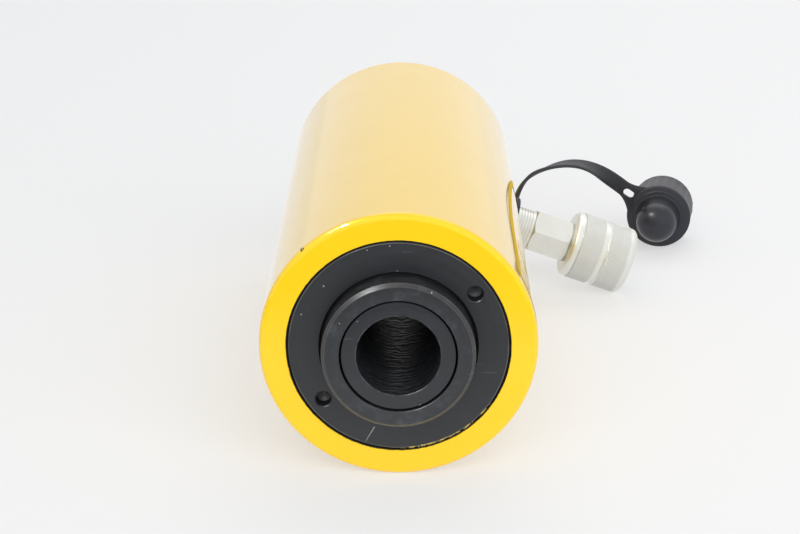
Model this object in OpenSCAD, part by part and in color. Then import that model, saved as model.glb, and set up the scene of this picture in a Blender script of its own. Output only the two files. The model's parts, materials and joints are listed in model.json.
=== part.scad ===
// Hollow plunger hydraulic cylinder, single acting with spring return.
// Sizes are in millimetres. The cylinder lies on its side with its axis along Y.
// The base face is at Y = 0 and the plunger comes out towards -Y.

/* [Body] */
// Outside diameter of the body
body_d = 114; // [104:1:130]
// Length of the body from the base face to the front face
body_l = 259; // [240:1:300]
// Diameter of the bore that the piston runs in
bore_d = 89; // [84:0.5:94]
// Thickness of the closed base
base_t = 28; // [24:1:34]
// Round on the front outer edge
front_round = 2.4; // [0.8:0.2:3]
// Chamfer on the base outer edge
base_chamfer = 2; // [1:0.5:4]
// Bolt circle of the two tapped holes in the base
base_pcd = 92; // [80:1:98]
// Tapping diameter of the base holes
base_hole_d = 8.5; // [5:0.1:11]
// Depth of the base holes
base_hole_l = 16; // [10:1:20]

/* [Gland nut] */
// Length of the gland nut
gland_l = 30; // [26:1:40]
// Step between the bore and the gland thread
gland_step = 1.1; // [0.8:0.1:3]
// Depth of the gland face below the front face
gland_sink = 0.3; // [0.1:0.1:1]
// Gap around the plunger at the gland face
gland_mouth = 1.05; // [0.6:0.05:1.5]
// Diameter of the spanner holes
spanner_d = 6.5; // [4:0.1:8]
// Distance of the spanner holes from the edge of the gland
spanner_in = 7.1; // [5:0.1:7.5]
// Depth of the spanner holes
spanner_l = 5.5; // [3:0.5:8]
// Angle of the first spanner hole above the horizontal
spanner_angle = 36.7; // [0:0.1:90]

/* [Plunger] */
// Diameter of the plunger
plunger_d = 62.5; // [58:0.5:66]
// Height of the plunger above the body when it is in
plunger_out = 10.4; // [6:0.2:16]
// Bevel on the outer edge of the plunger
plunger_bevel = 1.5; // [0.8:0.1:3]
// Bevel on the inner edge of the plunger
plunger_mouth = 0.3; // [0.2:0.1:3]
// Stroke of the plunger
stroke = 100; // [80:1:105]

/* [Piston] */
// Length of the reduced nose that lets oil in under the piston
nose_l = 15; // [14:0.5:20]
// Step between the bore and the nose
nose_step = 4; // [2:0.5:6]
// Length of the piston land
piston_l = 27; // [26:0.5:36]
// Depth of the piston seal grooves
seal_depth = 5.6; // [4:0.1:6]
// Width of the piston seals
seal_l = 5.4; // [4:0.1:6]
// Thickness of the backup rings
backup_l = 1.5; // [1:0.1:2]
// Thickness of the guide rings
guide_t = 2.5; // [1.5:0.1:3]
// Width of the guide rings
guide_l = 8; // [5:0.5:9]

/* [Centre tube] */
// Outside diameter of the centre tube
tube_d = 46.4; // [44:0.2:48]
// Diameter of the through hole
tube_bore_d = 34.2; // [30:0.2:37]
// Gap between the tube and the bore of the plunger
tube_gap = 0.8; // [0.5:0.1:1.5]
// Depth of the tube face below the plunger face
tube_sink = 1; // [0.4:0.1:3]
// Diameter of the flange that seats the tube in the base
flange_d = 54; // [51:0.5:60]
// Thickness of that flange
flange_l = 6; // [4:0.5:9]
// Wire diameter of the seal on the tube
tube_seal_d = 3; // [2:0.1:4]

/* [Return spring] */
// Wire diameter of the return spring
wire_d = 8.5; // [6:0.5:9]

/* [Coupler] */
// Height of the port above the chamber floor
port_up = 9; // [8:0.5:10]
// Diameter of the coupler thread
thread_d = 17; // [14:0.2:18]
// Depth of the thread in the body wall
thread_in = 9; // [6:0.5:10]
// Length of the thread that stays outside
thread_out = 14; // [10:0.5:20]
// Diameter of the plain neck behind the hexagon
neck_d = 19.4; // [18.6:0.2:20]
// Size of the hexagon across flats
hex_af = 20.5; // [20:0.1:24]
// Length of the hexagon
hex_l = 21; // [12:0.5:26]
// Turn of the hexagon about the coupler
hex_turn = 45; // [0:1:60]
// Diameter of the nose inside the collar
nose_d = 20; // [19:0.2:20]
// Length of the nose
nose_out = 13.4; // [13:0.2:15]

/* [Collar] */
// Diameter of the knurled bands
collar_d = 35; // [33:0.5:40]
// Length of the collar
collar_l = 33; // [31:0.5:38]
// Wall at the back of the collar
collar_wall = 5; // [4:0.2:5.2]
// Diameter of the thread inside the collar
collar_thread_d = 27; // [26:0.2:28]
// Length of the thread inside the collar
collar_thread_l = 17; // [15:0.5:18]
// Width of the plain rim at the back
rim_l = 4; // [2:0.5:6]
// Width of the groove between the knurled bands
groove_l = 3; // [1:0.5:5]
// Depth of that groove
groove_t = 0.9; // [0.4:0.1:1.5]
// Round on the front edge of the collar
collar_round = 3; // [1:0.5:4]

/* [Valve] */
// Diameter of the bore for the valve
valve_d = 14; // [13:0.2:14]
// Diameter of the oil way through the coupler
oil_d = 7; // [5:0.5:7]
// Thickness of the valve seat
seat_l = 6.6; // [5:0.2:7]
// Diameter of the hole in the valve seat
seat_d = 6; // [5:0.2:6.6]
// Wire diameter of the valve spring
valve_wire_d = 1; // [0.6:0.1:1.2]

/* [Dust cap] */
// Diameter of the flange of the cap
cap_d = 35.4; // [32:0.2:42]
// Thickness of the flange
cap_t = 3; // [2:0.5:5]
// Diameter of the plug
plug_d = 24.4; // [20:0.2:25]
// Length of the plug
plug_l = 19.5; // [12:0.5:19.5]
// Taper of the plug towards its tip
plug_taper = 1; // [0.5:0.1:2]
// Diameter of the ribbed grip
grip_d = 34; // [30:0.2:35]
// Length of the ribbed grip
grip_l = 21.5; // [12:0.5:24]
// Wall of the ribbed grip
grip_wall = 3; // [2:0.5:4]
// Number of ribs on the grip
rib_n = 24; // [12:1:36]
// Sideways place of the cap on the table
cap_x = 143.6; // [130:0.2:160]
// Distance of the cap behind the base face
cap_back = 33.8; // [28:0.2:60]
// Turn of the cap on the table
cap_turn = 13; // [0:1:40]
// Width of the strap
strap_w = 9; // [6:0.5:12]
// Thickness of the strap
strap_t = 1.8; // [1.2:0.1:3]
// Distance of the strap ring from the body
strap_up = 1.6; // [0.8:0.1:6]
// Thickness of the strap ring
strap_ring_t = 2.4; // [1.5:0.1:4]
// Width of the strap ring around the thread
strap_ring_w = 5; // [3:0.5:7]
// Width of the strap where it meets the cap
strap_tab_w = 28; // [14:0.5:30]
// Width of the slot in the strap beside the cap
strap_slot_w = 4; // [2:0.2:5]
// Length of that slot
strap_slot_l = 6.6; // [5.5:0.2:8]

/* [Hidden] */
$fn = 96;

// Named clearances
fit = 0.08;
thread_fit = 0.05;
loose = 0.25;
seat_gap = 0.2;
floor_gap = 0.1;
valve_gap = 0.1;
cut_past = 1;

// Broken edges and the walls that are left between grooves
sharp_edge = 0.2;
fine_edge = 0.4;
edge = 0.8;
land_edge = 1;
groove_wall = 4;

// Radii of the body and what runs in it
body_r = body_d / 2;
bore_r = bore_d / 2;
gland_r = bore_r + gland_step;
plunger_r = plunger_d / 2;
tube_r = tube_d / 2;
tube_in = tube_bore_d / 2;
flange_r = flange_d / 2;
piston_r = bore_r - fit;
guide_r = tube_r + fit;
sleeve_r = tube_r + tube_gap;
mouth_r = plunger_r + gland_mouth;

// Stations along the axis, measured from the base face
tube_base_sink = 0.5;
tube_s0 = tube_base_sink;
gland_s0 = body_l - gland_l;
gland_top = body_l - gland_sink;
plunger_s0 = base_t + seat_gap;
land_s0 = plunger_s0 + nose_l;
land_top = land_s0 + piston_l;
plunger_top = body_l + plunger_out;
tube_top = plunger_top - tube_sink;
port_s = base_t + port_up;
tube_seal_s = (flange_l + base_t) / 2;
tube_seal_w = 1.3 * tube_seal_d;
tube_seal_out = tube_r + tube_seal_d + 2 * fit;

// Grooves of the piston
seal_groove_l = seal_l + backup_l + 3 * fit;
seal_s = land_s0 + groove_wall;
guide_s = land_top - groove_wall - guide_l;
seal_bottom = piston_r - seal_depth;
inner_seal_up = 14;
inner_seal_s = plunger_s0 + inner_seal_up;
inner_guide_s = inner_seal_s + seal_groove_l + groove_wall;
inner_bottom = guide_r + seal_depth;
inner_top = inner_guide_s + guide_l + groove_wall;

// Grooves of the gland
bush_s = gland_s0 + groove_wall;
bush_l = 0.4 * gland_l;
bush_out = plunger_r + guide_t + fit;
wiper_l = 5.4;
wiper_sink = 2.6;
wiper_t = 3.4;
wiper_lip = 1.2;
wiper_s = gland_top - wiper_sink - wiper_l;
wiper_out = plunger_r + wiper_t;

// Return spring
spring_l = gland_s0 - land_top;
spring_r = (plunger_r + bore_r) / 2;
spring_turns = (spring_l - stroke) / wire_d - 0.5;

// Stations along the coupler, measured from the cylinder axis
thread_u0 = body_r - thread_in;
hex_u0 = body_r + thread_out;
hex_u1 = hex_u0 + hex_l;
nose_u1 = hex_u1 + nose_out;
collar_u0 = hex_u1 + seat_gap;
collar_u1 = collar_u0 + collar_l;
ring_u0 = collar_u0 + collar_wall + seat_gap;
ring_l = 1.4;
ring_groove = 1;
valve_bore_l = 21.5;
valve_u0 = nose_u1 - valve_bore_l;
seat_u0 = nose_u1 - seat_l;
seat_cone = 1.8;
valve_spring_r = 4.6;
poppet_guide_l = 2.4;
poppet_guide_u = seat_u0 - seat_gap - poppet_guide_l;
poppet_tail = 7;
poppet_stem_r = 2;
valve_turns = 5.5;
nose_r = nose_d / 2;
valve_r = valve_d / 2;
collar_r = collar_d / 2;
collar_thread_r = collar_thread_d / 2;
nose_seal_r = (nose_r + valve_r) / 2;
nose_seal_t = 0.26 * (nose_r - valve_r);
neck_r = neck_d / 2;
neck_u0 = body_r + strap_up + strap_ring_t + loose;
hex_r = hex_af / 2;
hex_corner = 2;
hex_bevel = 1.2;
rim_sink = 0.5;
rim_bevel = 1.4;
relief = 0.7;
band_u1 = collar_u1 - collar_round - land_edge;
band_l = (band_u1 - collar_u0 - rim_l - groove_l) / 2;

// The collar rests on the table beside the body
touch_u = collar_u1 - collar_round * (1 - cos(45));
touch_r = collar_r - collar_round * (1 - cos(45));
drop = asin((body_r - floor_gap) / norm([touch_u, touch_r])) - atan2(touch_r, touch_u);

// Place of the cap and route of the strap
cap_r = cap_d / 2;
rib_t = 0.6;
cap_rest = max(cap_r, grip_d / 2 + rib_t) - body_r + floor_gap;
cap_at = [cap_x, cap_rest, -cap_back];
cap_facing = [-sin(cap_turn), 0, cos(cap_turn)];
cap_right = [cos(cap_turn), 0, sin(cap_turn)];
cap_up = [0, 1, 0];
coupler_out = [cos(drop), -sin(drop), 0];
coupler_up = [sin(drop), cos(drop), 0];
strap_lean = 42;
strap_slope = 37;
strap_root_l = 2;
strap_hold_l = 8;
slot_gap_l = 3;
strap_leave_l = 15;
strap_arrive_l = 23;
shoulder_w = 16;
shoulder_h = 13;
shoulder_l = 18;
crown_w = 39;
crown_h = 35;
crown_l = 27;
strap_in_r = thread_d / 2 + loose;
strap_out_r = strap_in_r + strap_ring_w;
strap_u = body_r + strap_up + strap_ring_t / 2;
strap_go = cos(strap_lean) * coupler_up - sin(strap_lean) * [0, 0, 1];
strap_come = sin(strap_slope) * cap_up - cos(strap_slope) * cap_right;
strap_start = [0, 0, port_s] + strap_u * coupler_out + (strap_out_r - strap_root_l) * strap_go;
strap_end = cap_at + (cap_r - strap_hold_l) * strap_come;
strap_pts = [
  strap_start, strap_start + strap_leave_l * strap_go,
  strap_start + [shoulder_w, shoulder_h, -shoulder_l],
  strap_end + [-crown_w, crown_h, crown_l],
  strap_end + strap_arrive_l * strap_come, strap_end
];
strap_flats = [-coupler_out, [-0.4, 0.8, -0.45], [0.8, 0.6, 0.1], cap_facing];
strap_rings = 40;
flare_share = 0.91;
plain_share = 0.7;

// A unit vector
function unit(v) = v / norm(v);
// A round corner from one angle to another, as points
function arc(x, y, r, a, b, n) = [for (i = [0 : n])
  let (v = a + (b - a) * i / n) [x + r * cos(v), y + r * sin(v)]];
// A groove in a wall, as four points in the order that they are met
function groove(wall, floor, s, w) = [[wall, s], [floor, s], [floor, s + w], [wall, s + w]];
function back(pts) = [for (i = [len(pts) - 1 : -1 : 0]) pts[i]];
// The route of the strap is a smooth curve that is held by six points
function knot(i) = min(max(i - 3, 0), 3) / 3;
function share(a, b, v) = b > a ? v / (b - a) : 0;
function pull(i, k, t) = k == 0 ? (knot(i) <= t && t < knot(i + 1) ? 1 : 0)
  : share(knot(i), knot(i + k), t - knot(i)) * pull(i, k - 1, t)
    + share(knot(i + 1), knot(i + k + 1), knot(i + k + 1) - t) * pull(i + 1, k - 1, t);
function route(t) = let (u = min(max(t, 0), 0.99999))
  pull(0, 3, u) * strap_pts[0] + pull(1, 3, u) * strap_pts[1] + pull(2, 3, u) * strap_pts[2]
  + pull(3, 3, u) * strap_pts[3] + pull(4, 3, u) * strap_pts[4] + pull(5, 3, u) * strap_pts[5];
function course(t) = unit(route(t + 0.001) - route(t - 0.001));
// The flat side of the strap turns from the ring to the cap
function lean(t) = pow(1 - t, 3) * strap_flats[0] + 3 * t * pow(1 - t, 2) * strap_flats[1]
  + 3 * t * t * (1 - t) * strap_flats[2] + pow(t, 3) * strap_flats[3];
function side(t) = unit(cross(course(t), lean(t)));
function top(t) = cross(side(t), course(t));
function flare(t) = strap_w / 2
  + (strap_tab_w - strap_w) / 2 * pow(max(0, t - flare_share) / (1 - flare_share), 2);
// Stations of the strap, closer together where it widens
function strap_t_at(i) = let (k = i / strap_rings) k < plain_share ? flare_share * k / plain_share
  : flare_share + (1 - flare_share) * (k - plain_share) / (1 - plain_share);
// Height of a spring wire that has closed ends
function rise(t, turns, h, w) = w * min(t, 1) + w * max(0, t - turns + 1)
  + (h - 3 * w) * min(1, max(0, (t - 1) / (turns - 2)));

// Lays a piece that stands on the base down on its side
module lay() {
  rotate([90, 0, 0]) children();
}

// Puts a piece that points up on the port of the body
module on_port() {
  translate([0, 0, port_s]) rotate([0, 0, -drop]) rotate([0, 90, 0]) children();
}

// A ring about the axis with the given section
module turned(pts) {
  rotate_extrude() polygon(pts);
}

// A plain ring
module ring(r0, r1, s, l) {
  translate([0, 0, s]) turned([[r0, 0], [r1, 0], [r1, l], [r0, l]]);
}

// A lip seal with its lips towards the oil
module lip_seal(r0, r1, s, l) {
  mid = (r0 + r1) / 2;
  half = 0.22 * (r1 - r0);
  translate([0, 0, s])
    turned([[r0, 0], [mid - half, 0], [mid, l / 2], [mid + half, 0], [r1, 0], [r1, l], [r0, l]]);
}

// A round ring seal
module cord_ring(mid, wire, s) {
  translate([0, 0, s]) rotate_extrude() translate([mid, 0]) circle(d = wire, $fn = 32);
}

// Closed skin over rings of points that follow each other
module skin(rings) {
  n = len(rings);
  m = len(rings[0]);
  pts = [for (r = rings) for (p = r) p];
  low = [for (i = [0 : n - 2]) for (j = [0 : m - 1])
    let (k = i * m, q = (j + 1) % m) [k + j, k + q, k + m + j]];
  high = [for (i = [0 : n - 2]) for (j = [0 : m - 1])
    let (k = i * m, q = (j + 1) % m) [k + q, k + m + q, k + m + j]];
  first = [for (j = [m - 1 : -1 : 0]) j];
  last = [for (j = [0 : m - 1]) (n - 1) * m + j];
  polyhedron(points = pts, faces = concat(low, high, [first, last]));
}

// A wire spring with closed ends, from height s up to s + l
module coil(mid, wire, s, l, turns, sides, steps) {
  n = ceil(turns * steps);
  skin([for (i = [0 : n]) let (t = turns * i / n, a = 360 * t, z = s + wire / 2 + rise(t, turns, l, wire))
    [for (j = [0 : sides - 1]) let (b = 360 * j / sides, r = mid + wire / 2 * cos(b))
      [r * cos(a), r * sin(a), z + wire / 2 * sin(b)]]]);
}

module cylinder_body() {
  color("gold") lay() difference() {
    turned(concat(
      [[flange_r + thread_fit, 0], [body_r - base_chamfer, 0], [body_r, base_chamfer]],
      arc(body_r - front_round, body_l - front_round, front_round, 0, 90, 5),
      [[gland_r + thread_fit + fine_edge, body_l], [gland_r + thread_fit, body_l - fine_edge]],
      [[gland_r + thread_fit, gland_s0], [bore_r, gland_s0], [bore_r, base_t]],
      [[tube_r + thread_fit, base_t]],
      back(groove(tube_r + thread_fit, tube_seal_out, tube_seal_s - tube_seal_w / 2, tube_seal_w)),
      [[tube_r + thread_fit, flange_l], [flange_r + thread_fit, flange_l]]
    ));
    on_port() {
      translate([0, 0, thread_u0 - 2 * loose]) cylinder(r = thread_d / 2 + thread_fit, h = 2 * thread_in);
      translate([0, 0, bore_r - nose_step]) cylinder(d = oil_d, h = body_r - bore_r);
    }
    for (side = [0, 180]) rotate([0, 0, 90 - drop + side]) translate([base_pcd / 2, 0, -cut_past])
      cylinder(d = base_hole_d, h = base_hole_l + cut_past);
  }
}

module centre_tube() {
  color("dimgray") lay() turned([
    [tube_in + land_edge, tube_s0], [flange_r - edge, tube_s0], [flange_r, tube_s0 + edge],
    [flange_r, flange_l], [tube_r, flange_l], [tube_r, tube_top - sharp_edge],
    [tube_r - sharp_edge, tube_top], [tube_in + sharp_edge, tube_top], [tube_in, tube_top - sharp_edge],
    [tube_in, tube_s0 + land_edge]
  ]);
}

module tube_o_ring() {
  color("black") lay() cord_ring((tube_r + tube_seal_out) / 2, tube_seal_d, tube_seal_s);
}

// A drilled hole with the cone of the drill below it and a broken edge
module spanner_hole() {
  drill_cone = 0.3 * spanner_d;
  translate([0, 0, -spanner_l]) cylinder(d = spanner_d, h = spanner_l + cut_past);
  translate([0, 0, -spanner_l - drill_cone]) cylinder(d1 = 0, d2 = spanner_d, h = drill_cone);
  translate([0, 0, -fine_edge])
    cylinder(d1 = spanner_d, d2 = spanner_d + 4 * fine_edge, h = 2 * fine_edge);
}

module gland_nut() {
  color("darkslategray") lay() difference() {
    turned(concat(
      [[plunger_r + loose, gland_s0], [gland_r - land_edge, gland_s0], [gland_r, gland_s0 + land_edge]],
      [[gland_r, gland_top - edge], [gland_r - edge, gland_top]],
      [[mouth_r + fine_edge, gland_top], [mouth_r, gland_top - fine_edge]],
      back(groove(mouth_r, wiper_out + fit, wiper_s - fit, wiper_l + 2 * fit)),
      back(groove(plunger_r + loose, bush_out + fit, bush_s - fit, bush_l + 2 * fit))
    ));
    for (side = [0, 180]) rotate([0, 0, spanner_angle + side])
      translate([gland_r - spanner_in, 0, gland_top]) spanner_hole();
  }
}

module gland_bush() {
  color("peru") lay() ring(plunger_r + fit, bush_out, bush_s, bush_l);
}

module wiper_ring() {
  color("black") lay() translate([0, 0, wiper_s]) turned([
    [plunger_r + wiper_lip, 0], [wiper_out, 0], [wiper_out, wiper_l], [mouth_r - fit, wiper_l],
    [plunger_r + fit, wiper_l + wiper_lip], [plunger_r + fit, wiper_l + wiper_lip - fine_edge],
    [plunger_r + wiper_lip, wiper_l - wiper_lip]
  ]);
}

module plunger() {
  foot_r = bore_r - nose_step;
  color("slategray") lay() turned(concat(
    [[guide_r + land_edge, plunger_s0], [foot_r - land_edge, plunger_s0], [foot_r, plunger_s0 + land_edge]],
    [[foot_r, land_s0], [piston_r - land_edge, land_s0], [piston_r, land_s0 + land_edge]],
    groove(piston_r, seal_bottom, seal_s, seal_groove_l),
    groove(piston_r, piston_r - guide_t - fit, guide_s - fit, guide_l + 2 * fit),
    [[piston_r, land_top - land_edge], [piston_r - land_edge, land_top], [plunger_r, land_top]],
    [[plunger_r, plunger_top - plunger_bevel], [plunger_r - plunger_bevel, plunger_top]],
    [[sleeve_r + plunger_mouth, plunger_top], [sleeve_r, plunger_top - plunger_mouth]],
    [[sleeve_r, inner_top + land_edge], [guide_r, inner_top]],
    back(groove(guide_r, guide_r + guide_t + fit, inner_guide_s - fit, guide_l + 2 * fit)),
    back(groove(guide_r, inner_bottom, inner_seal_s, seal_groove_l)),
    [[guide_r, plunger_s0 + land_edge]]
  ));
}

module piston_seal() {
  color("darkgreen") lay() lip_seal(seal_bottom + fit, bore_r - fit, seal_s + fit, seal_l);
}

module piston_backup_ring() {
  color("ivory") lay() ring(seal_bottom + fit, bore_r - fit, seal_s + seal_l + 2 * fit, backup_l);
}

module piston_guide_ring() {
  color("peru") lay() ring(piston_r - guide_t, bore_r - fit / 2, guide_s, guide_l);
}

module inner_seal() {
  color("darkgreen") lay() lip_seal(tube_r + fit, inner_bottom - fit, inner_seal_s + fit, seal_l);
}

module inner_backup_ring() {
  color("ivory") lay() ring(tube_r + fit, inner_bottom - fit, inner_seal_s + seal_l + 2 * fit, backup_l);
}

module inner_guide_ring() {
  color("peru") lay() ring(tube_r + fit / 2, guide_r + guide_t, inner_guide_s, guide_l);
}

module return_spring() {
  color("silver") lay() coil(spring_r, wire_d, land_top + fit, spring_l - 2 * fit, spring_turns, 10, 20);
}

module coupler_body() {
  color("lightsteelblue") lay() on_port() difference() {
    union() {
      translate([0, 0, thread_u0]) cylinder(r = thread_d / 2, h = hex_u1 - thread_u0 - cut_past);
      turned([[0, neck_u0], [neck_r - fine_edge, neck_u0], [neck_r, neck_u0 + fine_edge],
        [neck_r, hex_u0 + cut_past], [0, hex_u0 + cut_past]]);
      intersection() {
        translate([0, 0, hex_u0]) rotate([0, 0, hex_turn])
          cylinder(r = hex_r / cos(30), h = hex_l, $fn = 6);
        turned([[0, hex_u0 - cut_past], [hex_r, hex_u0 - cut_past], [hex_r, hex_u0],
          [hex_r + hex_corner, hex_u0 + hex_bevel], [hex_r + hex_corner, hex_u1 - hex_bevel],
          [hex_r, hex_u1], [hex_r, hex_u1 + cut_past], [0, hex_u1 + cut_past]]);
      }
      turned(concat(
        [[0, hex_u1 - cut_past], [nose_r, hex_u1 - cut_past]],
        groove(nose_r, nose_r - ring_groove, ring_u0, ring_l + fit),
        [[nose_r, nose_u1 - fine_edge], [nose_r - fine_edge, nose_u1], [0, nose_u1]]
      ));
    }
    translate([0, 0, thread_u0 - cut_past]) cylinder(d = oil_d, h = valve_u0 - thread_u0 + 2 * cut_past);
    translate([0, 0, valve_u0]) cylinder(r = valve_r, h = valve_bore_l + cut_past);
    ring(nose_seal_r - nose_seal_t - fit, nose_seal_r + nose_seal_t + fit,
      nose_u1 - 1.8 * nose_seal_t, 1.8 * nose_seal_t + cut_past);
  }
}

module coupler_collar() {
  color("gainsboro") lay() on_port() turned(concat(
    [[nose_r + fit, collar_u0], [collar_r - rim_sink - rim_bevel, collar_u0]],
    [[collar_r - rim_sink, collar_u0 + rim_bevel]],
    [[collar_r - rim_sink, collar_u0 + rim_l], [collar_r, collar_u0 + rim_l + rim_sink]],
    groove(collar_r, collar_r - groove_t, band_u1 - band_l - groove_l, groove_l),
    arc(collar_r - collar_round, collar_u1 - collar_round, collar_round, 0, 90, 5),
    [[collar_thread_r + land_edge, collar_u1], [collar_thread_r, collar_u1 - land_edge]],
    [[collar_thread_r, collar_u1 - collar_thread_l - land_edge]],
    [[collar_thread_r + relief, collar_u1 - collar_thread_l - land_edge]],
    [[collar_thread_r + relief, collar_u0 + collar_wall], [nose_r + fit, collar_u0 + collar_wall]]
  ));
}

module collar_ring() {
  color("gray") lay() on_port()
    ring(nose_r - ring_groove + fit, (nose_r + collar_thread_r) / 2, ring_u0 + fit / 2, ring_l);
}

module valve_seat() {
  seat_r = seat_d / 2;
  outer_r = valve_r - thread_fit;
  color("lightgray") lay() on_port() turned([
    [seat_r + seat_cone, seat_u0], [outer_r, seat_u0], [outer_r, nose_u1 - fine_edge],
    [outer_r - fine_edge, nose_u1], [seat_r + edge, nose_u1], [seat_r, nose_u1 - edge],
    [seat_r, seat_u0 + seat_cone]
  ]);
}

module valve_poppet() {
  cone_r = seat_d / 2 - valve_gap;
  pin_r = seat_d / 2 - land_edge;
  pin_u1 = nose_u1 - valve_gap;
  tail_u0 = seat_u0 - poppet_tail;
  head_u0 = seat_u0 - land_edge;
  color("khaki") lay() on_port() {
    translate([0, 0, poppet_guide_u]) cylinder(r = valve_r - loose, h = poppet_guide_l, $fn = 6);
    turned([
      [0, tail_u0], [poppet_stem_r, tail_u0], [poppet_stem_r, head_u0],
      [cone_r + seat_cone, head_u0], [cone_r + seat_cone, seat_u0], [cone_r, seat_u0 + seat_cone],
      [pin_r, seat_u0 + seat_cone], [pin_r, pin_u1 - fine_edge], [pin_r - fine_edge, pin_u1], [0, pin_u1]
    ]);
  }
}

module valve_spring() {
  valve_spring_l = poppet_guide_u - valve_u0 - 2 * fit;
  color("silver") lay() on_port()
    coil(valve_spring_r, valve_wire_d, valve_u0 + fit, valve_spring_l, valve_turns, 8, 14);
}

module nose_seal() {
  color("black") lay() on_port() cord_ring(nose_seal_r, 2 * nose_seal_t, nose_u1 - 0.7 * nose_seal_t);
}

module dust_cap() {
  plug_r = plug_d / 2;
  grip_r = grip_d / 2;
  cup_r = grip_r - grip_wall;
  front = cap_t / 2;
  rear = -cap_t / 2;
  rim = rear - grip_l;
  dome = 0.6 * (plug_r - plug_taper);
  step = 2;
  rib_w = 1.8;
  rib_l = grip_l - land_edge;
  color("dimgray") lay() translate(cap_at) rotate([0, -cap_turn, 0]) {
    turned(concat(
      [[0, rear - cap_t], [cup_r, rear - cap_t], [cup_r, rim]],
      [[grip_r - edge, rim], [grip_r, rim + edge], [grip_r, rear]],
      [[cap_r - edge, rear], [cap_r, rear + edge], [cap_r, front - edge], [cap_r - edge, front]],
      [[plug_r + step + edge, front], [plug_r + step, front + edge], [plug_r, front + edge]],
      arc(plug_r - plug_taper - dome, front + plug_l - dome, dome, 0, 90, 5),
      [[0, front + plug_l]]
    ));
    for (i = [0 : rib_n - 1]) rotate([0, 0, i * 360 / rib_n])
      translate([grip_r - land_edge, -rib_w / 2, rim + 2 * edge]) cube([land_edge + rib_t, rib_w, rib_l]);
  }
}

module cap_strap() {
  slot_at = cap_at + (cap_r + slot_gap_l) * strap_come;
  reach = (strap_slot_l - strap_slot_w) / 2;
  color("dimgray") lay() difference() {
    union() {
      on_port() ring(strap_in_r, strap_out_r, strap_u - strap_ring_t / 2, strap_ring_t);
      skin([for (i = [0 : strap_rings])
        let (t = strap_t_at(i), p = route(t), w = flare(t) * side(t), h = strap_t / 2 * top(t))
          [p + w + h, p - w + h, p - w - h, p + w - h]]);
    }
    for (way = [-1, 1]) translate(slot_at + way * reach * strap_come) rotate([0, -cap_turn, 0])
      cylinder(d = strap_slot_w, h = 4 * strap_t, center = true, $fn = 48);
    translate(slot_at) rotate([0, -cap_turn, 0]) rotate([0, 0, 180 - strap_slope])
      cube([2 * reach, strap_slot_w, 4 * strap_t], center = true);
  }
}

cylinder_body();
centre_tube();
tube_o_ring();
gland_nut();
gland_bush();
wiper_ring();
plunger();
piston_seal();
piston_backup_ring();
piston_guide_ring();
inner_seal();
inner_backup_ring();
inner_guide_ring();
return_spring();
coupler_body();
coupler_collar();
collar_ring();
valve_seat();
valve_poppet();
valve_spring();
nose_seal();
dust_cap();
cap_strap();
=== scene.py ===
import bmesh
import bpy
import json
import math
import numpy as np
from mathutils import Matrix, Vector


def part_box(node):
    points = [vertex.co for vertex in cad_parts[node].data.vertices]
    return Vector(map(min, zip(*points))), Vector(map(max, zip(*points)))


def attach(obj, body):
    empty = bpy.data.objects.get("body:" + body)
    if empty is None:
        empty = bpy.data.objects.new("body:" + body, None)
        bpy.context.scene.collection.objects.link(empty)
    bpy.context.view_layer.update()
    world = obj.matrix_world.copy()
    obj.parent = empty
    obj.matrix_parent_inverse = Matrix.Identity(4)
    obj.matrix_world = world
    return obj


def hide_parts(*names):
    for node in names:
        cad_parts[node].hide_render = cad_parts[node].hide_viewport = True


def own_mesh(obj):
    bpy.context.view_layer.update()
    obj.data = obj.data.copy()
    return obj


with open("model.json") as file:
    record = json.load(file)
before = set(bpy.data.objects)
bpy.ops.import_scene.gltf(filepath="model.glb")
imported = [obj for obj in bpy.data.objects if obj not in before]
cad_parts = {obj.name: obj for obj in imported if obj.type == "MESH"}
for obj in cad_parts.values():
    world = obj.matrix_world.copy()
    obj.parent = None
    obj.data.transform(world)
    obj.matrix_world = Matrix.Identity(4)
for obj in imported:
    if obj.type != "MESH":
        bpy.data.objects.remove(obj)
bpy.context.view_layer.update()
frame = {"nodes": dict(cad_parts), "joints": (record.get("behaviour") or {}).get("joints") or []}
nodes = frame["nodes"]
joints = {joint["name"]: joint for joint in frame["joints"]}
scene = bpy.context.scene
scene.view_settings.view_transform = "Standard"
mm = 0.001
fullTurn = 2 * math.pi


def axesFrame(origin, x, y, z):
    turn = Matrix((Vector(x), Vector(y), Vector(z))).transposed()
    return Matrix.Translation(origin) @ turn.to_4x4()


# the cylinder lies along Y with its base at 0, and z of mainFrame runs to the plunger
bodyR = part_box("cylinder_body")[1].x / mm
mainFrame = axesFrame((0, 0, 0), (1, 0, 0), (0, 0, 1), (0, -1, 0))

# z of couplerFrame runs out along the coupler
portAt = Vector(joints["collar_spin"]["pos_m"])
couplerOut = Vector(joints["collar_spin"]["axis"]).normalized()
couplerUp = couplerOut.cross(Vector((0, 1, 0)))
couplerFrame = axesFrame(portAt, (0, 1, 0), couplerUp, couplerOut)

# z of capFrame runs out of the plug of the cap, which lies on its flange
capPlace = {"x": 143.6, "back": 33.8, "flangeR": 17.7, "turn": 13.0, "floorGap": 0.1}
capTurn = math.radians(capPlace["turn"])
capHeight = capPlace["flangeR"] - bodyR + capPlace["floorGap"]
capCentre = Vector((capPlace["x"], capPlace["back"], capHeight)) * mm
capFacing = Vector((-math.sin(capTurn), -math.cos(capTurn), 0))
capRight = Vector((math.cos(capTurn), -math.sin(capTurn), 0))
capFrame = axesFrame(capCentre, capRight, (0, 0, 1), capFacing)


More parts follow.
